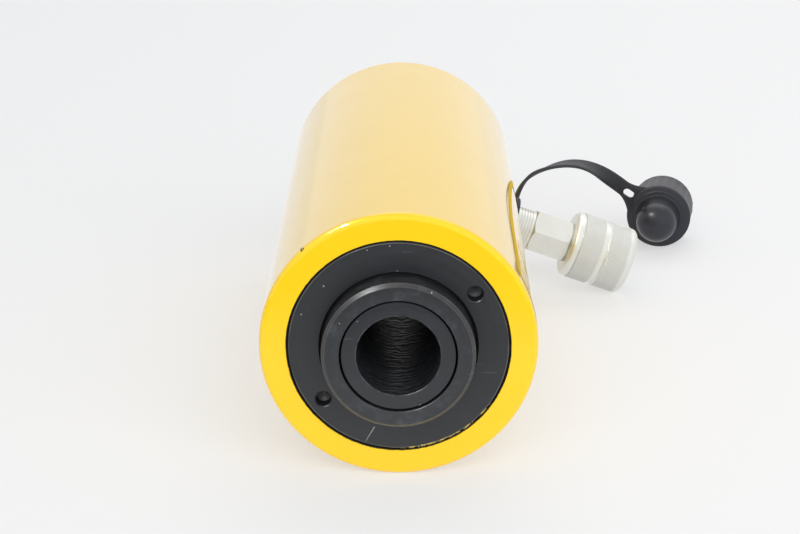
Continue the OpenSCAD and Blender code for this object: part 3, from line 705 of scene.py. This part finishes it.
def couplerShank():
    s = shank
    flat = s["acrossFlats"] / 2
    turn = math.radians(s["hexTurn"])
    neck = s["neckR"]
    nose = s["noseR"]
    end = s["noseTo"]

    def thread(along):
        fade = max(0, min(1, (s["threadTo"] - along) / s["pitch"], along - s["threadFrom"]))
        depth = s["threadDepth"] * fade
        return lambda a: s["threadR"] - depth * (1 - triangleWave(along / s["pitch"] - a / fullTurn))

    def hexagon(limit):
        return lambda a: np.minimum(flat / np.cos((a - turn) % (math.pi / 3) - math.pi / 6), limit)

    def bevelled(k):  # the turned bevel leaves an arc on each flat
        return hexagon(flat - s["bevelFoot"] + s["bevelDrop"] * k)

    first = s["threadFrom"] - s["startLength"]
    stations = [(first, s["oilR"]), (first, s["threadR"] - s["startDrop"])]
    for along in np.arange(s["threadFrom"], s["threadTo"], s["pitch"] / s["perPitch"]):
        stations.append((along, thread(along)))
    root = s["threadR"] - s["rootDrop"]
    stations += [(s["threadTo"], root), (s["neckFrom"], root)]
    stations += offsetStations(s["neckFrom"], neck, s["neckEdge"])
    for i in range(s["lines"], 0, -1):
        stations += offsetStations(s["hexFrom"] - s["lineGap"] - i * s["linePitch"], neck, s["line"])
    stations += [(s["hexFrom"] - s["hexGap"], neck)]
    shares = [i / s["bevelSteps"] for i in range(s["bevelSteps"] + 1)]
    corners = hexagon(2 * flat)
    stations += [(s["hexFrom"] + s["bevelIn"] + s["bevel"] * k, bevelled(k)) for k in shares]
    stations += [(s["hexFrom"] + s["flatIn"], corners), (s["hexTo"] - s["flatIn"], corners)]
    stations += [(s["hexTo"] - s["bevelIn"] - s["bevel"] * k, bevelled(k)) for k in reversed(shares)]
    ringEnd = s["ringAt"] + s["ringWidth"]
    ringFloor = nose - s["ringDeep"]
    stations += [(s["hexTo"] - s["noseIn"], nose), (s["ringAt"], nose), (s["ringAt"], ringFloor)]
    stations += [(ringEnd, ringFloor), (ringEnd, nose)]
    corner = s["noseRound"]
    stations += roundCorner(nose - corner, end - corner, corner, 0, 90, s["noseSteps"])
    stations += [(end, s["sealOut"]), (end - s["sealDeep"], s["sealOut"])]
    stations += [(end - s["sealDeep"], s["sealIn"]), (end, s["sealIn"])]
    stations += offsetStations(end, s["valveR"], s["valveEdge"])
    stations += [(s["valveFrom"], s["valveR"]), (s["valveFrom"], s["oilR"])]
    return turnedPiece("couplerShank", stations, s["segments"], couplerFrame, startAngle=turn)


finishPiece(couplerShank(), zincPlate, "cylinder", "plated_steel", "coupler_body")

# collar: a plain rim, two diamond knurled bands, a groove and the thread in its mouth
collar = {
    "from": 92.2, "to": 125.2, "r": 17.5, "boreR": 10.08, "wall": 5.0,
    "rimTo": 96.2, "rimDrop": 0.5, "rimEdge": ((0.0, -1.5), (0.15, -1.2), (1.1, -0.1), (1.5, 0.0)),
    "rimLine": ((-0.45, 0.0), (-0.2, -0.4), (0.1, -0.4)),
    "grooveFrom": 107.2, "grooveTo": 110.2, "grooveEdge": ((-0.1, -0.3), (0.3, -0.9)),
    "bandTo": 121.2, "bandGap": 0.3, "bandEnd": 0.35, "diamonds": 90, "perDiamond": 4, "knurlDepth": 0.36,
    "frontRound": 3.0, "frontDrop": 0.1, "frontSteps": 8, "mouthBevel": 0.8, "mouthStart": 1.0, "relief": 0.7,
    "threadR": 13.5, "threadDepth": 0.55, "threadLength": 17.0, "threadPitch": 1.6,
    "perPitch": 6, "smooth": 40,
}


def knurledCollar():
    c = collar
    r = c["r"]
    count = c["diamonds"]
    pitch = fullTurn * r / count

    def knurl(along):
        def radius(a):
            around = a * count / fullTurn
            crossing = np.minimum(triangleWave(around + along / pitch), triangleWave(around - along / pitch))
            return r - c["knurlDepth"] * (1 - crossing)
        return radius

    def mouth(along):
        turns = along / c["threadPitch"]
        return lambda a: c["threadR"] - c["threadDepth"] * triangleWave(turns - a / fullTurn)

    def band(start, end):
        steps = round((end - start) / pitch * c["perDiamond"])
        return [(along, knurl(along)) for along in np.linspace(start, end, steps + 1)]

    start = c["from"]
    end = c["to"]
    rim = r - c["rimDrop"]
    deep = c["threadR"] + c["relief"]
    stations = [(start, c["boreR"])] + offsetStations(start, rim, c["rimEdge"])
    stations += offsetStations(c["rimTo"], rim, c["rimLine"])
    stations += band(c["rimTo"] + c["bandGap"], c["grooveFrom"] - c["bandEnd"])
    stations += offsetStations(c["grooveFrom"], r, c["grooveEdge"])
    stations += offsetStations(c["grooveTo"], r, mirrored(c["grooveEdge"]))
    stations += band(c["grooveTo"] + c["bandEnd"], c["bandTo"] - c["bandGap"])
    front = c["frontRound"]
    stations += roundCorner(r - front - c["frontDrop"], end - front, front, 0, 90, c["frontSteps"])
    stations += [(end, deep), (end - c["mouthBevel"], c["threadR"])]
    threadStart = end - c["mouthStart"]
    threadEnd = threadStart - c["threadLength"]
    for along in np.arange(threadStart, threadEnd, -c["threadPitch"] / c["perPitch"]):
        stations.append((along, mouth(along)))
    stations += [(threadEnd, deep), (start + c["wall"], deep), (start + c["wall"], c["boreR"])]
    segments = count * c["perDiamond"]
    piece = turnedPiece("knurledCollar", stations, segments, couplerFrame, smoothAngle=c["smooth"])
    angles = np.arange(segments) * fullTurn / segments
    depth = np.zeros((len(stations), segments))
    for row, (along, radius) in enumerate(stations):
        if callable(radius) and along < c["bandTo"]:
            depth[row] = np.clip((r - radius(angles)) / c["knurlDepth"], 0, 1)
    layer = piece.data.attributes.new("valley", "FLOAT", "POINT")  # how deep in the knurl, for the painted shade in its valleys
    layer.data.foreach_set("value", depth.ravel())
    return piece


finishPiece(knurledCollar(), zincPlate, "collar", "plated_steel", "coupler_collar")
print("coupler made")

# dust cap: domed plug, stepped flange and ribbed grip
cap = {
    "flangeT": 3.0, "plugR": 12.2, "plugTaper": 1.0, "plugLength": 19.5, "step": 2.2,
    "gripR": 17.0, "gripLength": 21.5, "gripWall": 3.0,
    "cupCorner": ((0.0, -1.0), (-0.3, -0.3), (-1.0, 0.0)), "cupRim": ((0.6, 0.0), (0.0, 0.5)),
    "gripRim": ((0.0, -0.7), (0.2, -0.2), (0.8, 0.0), (1.3, 0.0)),
    "ribs": 24, "ribHeight": 0.35, "ribSlope": 1.6, "ribGap": 0.4,
    "ribFrom": 2.0, "ribTo": 1.0, "ribFoot": 0.3, "ribFlare": 0.15,
    "flangeBack": ((0.0, -0.2), (0.0, -0.15), (0.25, -0.08), (0.8, 0.0)),
    "flangeFront": ((-0.8, 0.0), (-0.25, -0.25), (0.0, -0.8)),
    "stepEdge": ((0.0, 0.8), (0.25, 0.3), (0.8, 0.0)), "plugFoot": ((0.8, 0.8), (1.1, 0.2), (1.8, 0.0)),
    "taperAt": 0.6, "taperShare": 0.55, "domeR": 10.0, "domeFrom": 6, "domeTo": 84, "domeSteps": 12,
    "tipRise": 0.05, "middleR": 0.01, "segments": 192, "smooth": 45,
}


def ribbedCap():
    c = cap
    half = c["flangeT"] / 2
    grip = c["gripR"]
    cup = grip - c["gripWall"]
    flange = capPlace["flangeR"]
    plug = c["plugR"]
    tip = plug - c["plugTaper"]
    dome = c["domeR"]
    floorAt = half - 2 * c["flangeT"]
    back = -c["gripLength"] - half
    domeAt = half + c["plugLength"] - dome

    def ribbed(extra=0.0):
        def radius(a):
            wave = triangleWave(a * c["ribs"] / fullTurn)
            return grip + extra + c["ribHeight"] * np.clip(c["ribSlope"] * (wave - c["ribGap"]), 0, 1)
        return radius

    stations = [(floorAt, c["middleR"])] + offsetStations(floorAt, cup, c["cupCorner"])
    stations += offsetStations(back, cup, c["cupRim"]) + offsetStations(back, grip, c["gripRim"])
    stations += [(back + c["ribFrom"], ribbed()), (-half - c["ribTo"], ribbed())]
    stations += [(-half - c["ribFoot"], ribbed(c["ribFlare"]))]
    stations += offsetStations(-half, flange, c["flangeBack"])
    stations += offsetStations(half, flange, c["flangeFront"])
    stations += offsetStations(half, plug + c["step"], c["stepEdge"])
    stations += offsetStations(half, plug, c["plugFoot"])
    taperR = plug - c["plugTaper"] * c["taperShare"]
    stations += [(half + (domeAt - half) * c["taperAt"], taperR), (domeAt, tip)]
    stations += roundCorner(tip - dome, domeAt, dome, c["domeFrom"], c["domeTo"], c["domeSteps"])
    stations += [(half + c["plugLength"] + c["tipRise"], c["middleR"])]
    return turnedPiece("ribbedCap", stations, c["segments"], capFrame, smoothAngle=c["smooth"])


finishPiece(ribbedCap(), capRubber, "cap", "cap_rubber", "dust_cap")

# strap: a flat band from the ring on the thread to the flange of the cap
strap = {
    "width": 9.0, "thickness": 1.8, "lean": 42.0, "slope": 37.0, "reachOut": 15.0, "reachIn": 23.0,
    "rise": (16.0, 18.0, 13.0), "crown": (-39.0, -27.0, 35.0),
    "flats": ((-0.4, 0.45, 0.8), (0.8, -0.1, 0.6)), "edgeInset": 0.3, "edgeShare": 0.5,
    "ringAt": 59.8, "ringInner": 8.75, "ringOuter": 13.75, "ringThickness": 2.4, "ringRoot": 2.0,
    "ringInEdge": ((0.3, 0.0), (0.0, 0.3)), "ringOutEdge": ((0.0, -0.6), (0.2, -0.2), (0.6, 0.0)),
    "flareFrom": 0.91, "flareWidth": 28.0, "holdIn": 8.0, "plainShare": 0.7,
    "slotOut": 3.6, "slotLength": 6.6, "slotWidth": 4.0, "slotDepth": 4.0, "slotSides": 64,
    "steps": 96, "across": 10, "ringSides": 96, "smooth": 50, "last": 0.99999, "courseStep": 0.001,
}
splineDegree = 3


def splineShare(i, k, t, count):  # weight of one held point of a clamped spline
    def knot(n):
        return min(max(n - splineDegree, 0), count - splineDegree) / (count - splineDegree)
    if k == 0:
        return 1.0 if knot(i) <= t < knot(i + 1) else 0.0
    share = 0.0
    rise = knot(i + k) - knot(i)
    fall = knot(i + k + 1) - knot(i + 1)
    if rise > 0:
        share += (t - knot(i)) / rise * splineShare(i, k - 1, t, count)
    if fall > 0:
        share += (knot(i + k + 1) - t) / fall * splineShare(i + 1, k - 1, t, count)
    return share


def strapRoute():
    s = strap
    lean = math.radians(s["lean"])
    slope = math.radians(s["slope"])
    go = couplerUp * math.cos(lean) + Vector((0, 1, 0)) * math.sin(lean)
    come = Vector((0, 0, 1)) * math.sin(slope) - capRight * math.cos(slope)
    start = portAt + couplerOut * s["ringAt"] * mm + go * (s["ringOuter"] - s["ringRoot"]) * mm
    end = capCentre + come * (capPlace["flangeR"] - s["holdIn"]) * mm
    held = [start, start + go * s["reachOut"] * mm, start + Vector(s["rise"]) * mm]
    held += [end + Vector(s["crown"]) * mm, end + come * s["reachIn"] * mm, end]
    flats = [-couplerOut, Vector(s["flats"][0]), Vector(s["flats"][1]), capFacing]

    def at(t):
        t = min(max(t, 0.0), s["last"])
        shares = [splineShare(i, splineDegree, t, len(held)) for i in range(len(held))]
        return sum((p * share for p, share in zip(held, shares)), Vector((0, 0, 0)))

    rows = []
    for i in range(s["steps"] + 1):
        k = i / s["steps"]
        t = s["flareFrom"] * k / s["plainShare"]
        if k > s["plainShare"]:  # closer together where the band widens
            t = s["flareFrom"] + (1 - s["flareFrom"]) * (k - s["plainShare"]) / (1 - s["plainShare"])
        course = (at(t + s["courseStep"]) - at(t - s["courseStep"])).normalized()
        weights = ((1 - t) ** 3, 3 * t * (1 - t) ** 2, 3 * t * t * (1 - t), t ** 3)
        flat = sum((f * w for f, w in zip(flats, weights)), Vector((0, 0, 0)))
        side = course.cross(flat).normalized()
        rows.append((t, at(t), side, side.cross(course)))
    return rows, come


def slotCutter(come):
    s = strap
    middle = capCentre + come * (capPlace["flangeR"] + s["slotOut"]) * mm
    over = come.cross(capFacing)
    sides = s["slotSides"]
    r = s["slotWidth"] / 2
    reach = s["slotLength"] / 2 - r
    outline = []
    for level in (-s["slotDepth"], s["slotDepth"]):
        for i in range(sides):
            a = fullTurn * i / sides
            out = r * math.cos(a) + math.copysign(reach, math.cos(a))
            outline.append(middle + (come * out + over * r * math.sin(a) + capFacing * level) * mm)
    ends = [tuple(reversed(range(sides))), tuple(range(sides, 2 * sides))]
    return makePiece("slotCutter", outline, ringFaces(2, sides) + ends, Matrix.Identity(4))


def capStrap():
    s = strap
    rows, come = strapRoute()
    steps = [-1 + 2 * k / s["across"] for k in range(s["across"] + 1)]
    verts = []
    for t, point, side, top in rows:
        flare = max(0.0, (t - s["flareFrom"]) / (1 - s["flareFrom"]))
        half = (s["width"] + (s["flareWidth"] - s["width"]) * flare * flare) / 2
        for level, order in ((1, steps), (-1, steps[::-1])):
            for k in order:  # the long edges are rounded off
                onEdge = abs(k) == 1
                reach = k * (half - s["edgeInset"]) if onEdge else k * half
                lift = level * s["thickness"] / 2 * (s["edgeShare"] if onEdge else 1)
                verts.append(point + (side * reach + top * lift) * mm)
    cols = 2 * len(steps)
    ends = [tuple(reversed(range(cols))), tuple(range((len(rows) - 1) * cols, len(rows) * cols))]
    faces = ringFaces(len(rows), cols) + ends
    band = makePiece("capStrap", verts, faces, Matrix.Identity(4), s["smooth"])
    cutter = slotCutter(come)
    cut = band.modifiers.new("slot", "BOOLEAN")
    cut.operation = "DIFFERENCE"
    cut.object = cutter
    cut.solver = "EXACT"
    bpy.context.view_layer.update()
    shaped = bpy.data.meshes.new_from_object(band.evaluated_get(bpy.context.evaluated_depsgraph_get()))
    band.modifiers.clear()
    band.data = shaped
    shaped.name = "capStrap"
    shaped.shade_smooth()
    shaped.set_sharp_from_angle(angle=math.radians(s["smooth"]))
    bpy.data.objects.remove(cutter)
    return band


def strapRing():
    s = strap
    low = s["ringAt"] - s["ringThickness"] / 2
    high = s["ringAt"] + s["ringThickness"] / 2
    stations = offsetStations(low, s["ringInner"], s["ringInEdge"])
    stations += offsetStations(low, s["ringOuter"], s["ringOutEdge"])
    stations += offsetStations(high, s["ringOuter"], mirrored(s["ringOutEdge"]))
    stations += offsetStations(high, s["ringInner"], mirrored(s["ringInEdge"]))
    return turnedPiece("strapRing", stations, s["ringSides"], couplerFrame)


finishPiece(capStrap(), strapRubber, "cap", "cap_rubber", "cap_strap")
finishPiece(strapRing(), strapRubber, "cap", "cap_rubber")
print("cap and strap made")

# springs for the plunger and the valve, wound at one length; the real ones close up as the plunger or the
# valve moves
returnSpring = {
    "mid": 37.875, "wire": 8.5, "from": 70.2, "to": 229.0, "turns": 6.4,
    "perTurn": 40, "sides": 14, "keep": 0.36,
}
valveSpring = {
    "mid": 4.6, "wire": 1.0, "from": 83.95, "to": 96.2, "turns": 5.5,
    "perTurn": 28, "sides": 10, "keep": 0.66,
}
springGap = 0.05


def woundSpring(name, s, place):
    wire = s["wire"]
    turns = s["turns"]
    sides = s["sides"]
    count = int(turns * s["perTurn"])
    length = s["to"] - s["from"] - 2 * springGap
    verts = []
    for i in range(count + 1):
        t = turns * i / count
        closed = wire * (min(t, 1) + max(0, t - turns + 1))  # the end turns lie on each other
        rise = closed + (length - 3 * wire) * min(1, max(0, (t - 1) / (turns - 2)))
        a = fullTurn * t
        for j in range(sides):
            b = fullTurn * j / sides
            r = s["mid"] + wire / 2 * math.cos(b)
            along = s["from"] + springGap + wire / 2 + rise + wire / 2 * math.sin(b)
            verts.append((r * math.cos(a) * mm, r * math.sin(a) * mm, along * mm))
    ends = [tuple(range(sides)), tuple(reversed(range(count * sides, (count + 1) * sides)))]
    return makePiece(name, verts, ringFaces(count + 1, sides) + ends, place, smoothAngle=60)


mainCoil = woundSpring("returnSpringWire", returnSpring, mainFrame)
finishPiece(mainCoil, springWire, "cylinder", "spring_steel", "return_spring")
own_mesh(mainCoil)
valveCoil = woundSpring("valveSpringWire", valveSpring, couplerFrame)
finishPiece(valveCoil, springWire, "cylinder", "spring_steel", "valve_spring")
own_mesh(valveCoil)
print("springs made")

# bare label film on the right of the body, with a gold edge
label = {
    "top": 32.0, "front": 253.5, "straightTo": 200.0, "back": 60.0, "frontCorner": 7.0, "lift": 0.06,
    "tip": 0.02, "backShare": 0.5, "edge": 3.2, "edgeSoft": 0.15, "ragged": 1.6, "inner": 13.5,
    "innerWidth": 0.5, "inkShare": 0.9, "gold": (0.72, 0.52, 0.11), "ink": (0.22, 0.125, 0.02),
    "rough": 0.33, "goldRough": 0.5, "grainScale": 800.0, "bump": (0.03, 0.0002),
    "across": 48, "backSteps": 60, "midSteps": 66, "frontSteps": 24,
}


def labelHalf(s):  # half the height of the label, in degrees about the axis
    l = label
    corner = l["frontCorner"]
    if s > l["front"] - corner:
        k = (s - l["front"] + corner) / corner
        return l["top"] - corner * (1 - math.sqrt(max(0, 1 - k * k)))
    if s > l["straightTo"]:
        return l["top"]
    k = (l["straightTo"] - s) / (l["straightTo"] - l["back"])
    return l["top"] * math.sqrt(max(0, 1 - k * k))


def labelFilm():
    l = label
    radius = (bodyR + l["lift"]) * mm
    backLength = l["straightTo"] - l["back"]
    corner = l["frontCorner"]
    quarter = math.pi / 2
    spans = []
    for i in range(l["backSteps"]):
        spans.append(l["back"] + backLength * (1 - math.cos(quarter * i / l["backSteps"])))
    spans += list(np.linspace(l["straightTo"], l["front"] - corner, l["midSteps"]))
    for i in range(l["frontSteps"]):
        spans.append(l["front"] - corner * (1 - math.sin(quarter * (i + 1) / l["frontSteps"])))
    verts = []
    rim = []
    for s in spans:
        half = max(labelHalf(s), l["tip"])
        for j in range(l["across"] + 1):
            degrees = half * (2 * j / l["across"] - 1)
            a = math.radians(degrees)
            verts.append((radius * math.cos(a), -s * mm, radius * math.sin(a)))
            rim.append(min(half - abs(degrees), (s - l["back"]) * l["backShare"], l["front"] - s))
    faces = ringFaces(len(spans), l["across"] + 1, closeCols=False)
    piece = makePiece("labelFilm", verts, faces, Matrix.Identity(4), smoothAngle=60)
    layer = piece.data.attributes.new("rim", "FLOAT", "POINT")  # about how far in from the label's edge
    layer.data.foreach_set("value", rim)
    return piece


def labelFinish():
    l = label
    material, tree, shader, point = newMaterial("labelFinish")
    rim = addNode(tree, "Attribute", attribute_name="rim").outputs["Fac"]
    grain = useGroup(tree, fineGrain, Point=point, Scale=l["grainScale"])
    wobble = mathNode(tree, "SUBTRACT", grain["Height"], 0.5)  # the grain is a half on average
    ragged = mathNode(tree, "MULTIPLY_ADD", wobble, l["ragged"], rim)
    edge = rangeNode(tree, ragged, l["edge"] - l["edgeSoft"], l["edge"] + l["edgeSoft"], 1.0, 0.0)
    away = mathNode(tree, "ABSOLUTE", mathNode(tree, "SUBTRACT", rim, l["inner"]))
    inner = mathNode(tree, "LESS_THAN", away, l["innerWidth"])
    film = mixColor(tree, grain["Patches"], paint["color"], paint["deep"])
    film = mixColor(tree, times(tree, inner, l["inkShare"]), film, l["ink"])
    rough = rangeNode(tree, edge, 0.0, 1.0, l["rough"], l["goldRough"])
    surface(tree, shader, mixColor(tree, edge, film, l["gold"]), rough, grain["Height"], l["bump"])
    feed(tree, shader.inputs["Metallic"], edge)
    paintGloss(tree, shader, edge)
    return material


finishPiece(labelFilm(), labelFinish(), "cylinder", "yellow_paint")
print("label made")

# floor, light and camera
stage = {
    "size": 8.0, "color": (0.95, 0.956, 0.965), "rough": 0.9, "specular": 0.1,
    "paintedShadeLeft": (0.893, 0.9, 0.908), "paintedLightRight": (0.968, 0.972, 0.982), "seenFrom": -0.4, "seenTo": 0.4,
    "glowShare": 0.52, "mirrorShare": 0.85, "frontFrom": -0.36, "frontTo": -0.5, "frontBack": -0.8,
    "frontEnd": -1.1, "frontGlow": 0.2, "worldSeen": 1.0, "worldLight": 0.47,
}


def seenRays(tree):
    path = addNode(tree, "LightPath").outputs
    seen = most(tree, path["Is Camera Ray"], path["Is Glossy Ray"])
    return most(tree, seen, path["Is Transmission Ray"]), path["Is Glossy Ray"]


def paleFloor():
    s = stage
    h = s["size"] / 2
    verts = [(-h, -h, 0), (h, -h, 0), (h, h, 0), (-h, h, 0)]
    floor = makePiece("paleFloor", verts, [(0, 1, 2, 3)], Matrix.Translation((0, 0, -bodyR * mm)))
    material, tree, shader, point = newMaterial("paleFloor")
    shader.inputs["Base Color"].default_value = (*s["color"], 1)
    shader.inputs["Roughness"].default_value = s["rough"]
    shader.inputs["Specular IOR Level"].default_value = s["specular"]
    x, y = splitXYZ(tree, point)[:2]
    seen, glossy = seenRays(tree)
    glow = addNode(tree, "Emission")
    # painted light: the floor's glow is dimmer on the left and brighter on the right, as if lit more from the
    # right
    across = rangeNode(tree, x, s["seenFrom"], s["seenTo"])
    feed(tree, glow.inputs["Color"], mixColor(tree, across, s["paintedShadeLeft"], s["paintedLightRight"]))
    band = times(tree, rangeNode(tree, y, s["frontFrom"], s["frontTo"]),
                 rangeNode(tree, y, s["frontBack"], s["frontEnd"], 1.0, 0.0))
    paintedDarkStrip = times(tree, band, glossy)  # painted reflection: a darker strip in front, which only reflections show, so the front faces reflect painted shade
    feed(tree, glow.inputs["Strength"], rangeNode(tree, paintedDarkStrip, 0.0, 1.0, 1.0, s["frontGlow"]))
    blend = addNode(tree, "MixShader")
    share = most(tree, times(tree, seen, s["glowShare"]), times(tree, glossy, s["mirrorShare"]))
    feed(tree, blend.inputs[0], most(tree, share, paintedDarkStrip))
    feed(tree, blend.inputs[1], shader.outputs[0])
    feed(tree, blend.inputs[2], glow.outputs[0])
    feed(tree, tree.nodes["Material Output"].inputs["Surface"], blend.outputs[0])
    floor.data.materials.append(material)


def paleWorld():
    world = bpy.data.worlds.new("paleWorld")
    world.use_nodes = True
    tree = world.node_tree
    back = tree.nodes["Background"]
    back.inputs["Color"].default_value = (1, 1, 1, 1)
    seen = seenRays(tree)[0]
    strength = rangeNode(tree, seen, 0.0, 1.0, stage["worldLight"], stage["worldSeen"])
    feed(tree, back.inputs["Strength"], strength)
    scene.world = world


lights = {
    "mainBox": {"place": (0.5, -2.7, 1.5), "target": (0, -0.12, 0), "size": (6.0, 2.6), "power": 95,
                "lights": True, "mirrored": False},
    "farBox": {"place": (0.3, 1.7, 2.4), "target": (0.1, 1.2, 0), "size": (3.0, 2.0), "power": 19,
               "lights": True, "mirrored": True},
    "leftBox": {"place": (-1.0, -0.9, 1.6), "target": (0, -0.2, 0), "size": (0.26, 0.26), "power": 13,
                "lights": False, "mirrored": True},
    "wideBox": {"place": (-1.2, -1.0, 1.7), "target": (0, -0.2, 0), "size": (1.5, 0.22), "power": 7,
                "lights": False, "mirrored": True},
}


def softBox(name, s):
    light = bpy.data.lights.new(name, "AREA")
    light.shape = "RECTANGLE"
    light.size = s["size"][0]
    light.size_y = s["size"][1]
    light.energy = s["power"]
    lamp = bpy.data.objects.new(name, light)
    lamp.location = s["place"]
    lamp.rotation_euler = (Vector(s["target"]) - Vector(s["place"])).to_track_quat("-Z", "Y").to_euler()
    lamp.visible_diffuse = s["lights"]
    lamp.visible_glossy = s["mirrored"]
    scene.collection.objects.link(lamp)


view = {
    "place": (0.004669, -0.96603, 0.28722), "turn": (70.348, 0.0, 0.331), "lens": 84.47, "sensor": 36.0,
}


def photoCamera():
    lens = bpy.data.cameras.new("photoLens")
    lens.sensor_width = view["sensor"]
    lens.lens = view["lens"]
    camera = bpy.data.objects.new("photoCamera", lens)
    camera.location = view["place"]
    camera.rotation_euler = tuple(math.radians(angle) for angle in view["turn"])
    scene.collection.objects.link(camera)
    scene.camera = camera


paleFloor()
paleWorld()
for lampName, lampSettings in lights.items():
    softBox(lampName, lampSettings)
photoCamera()
print("stage made")
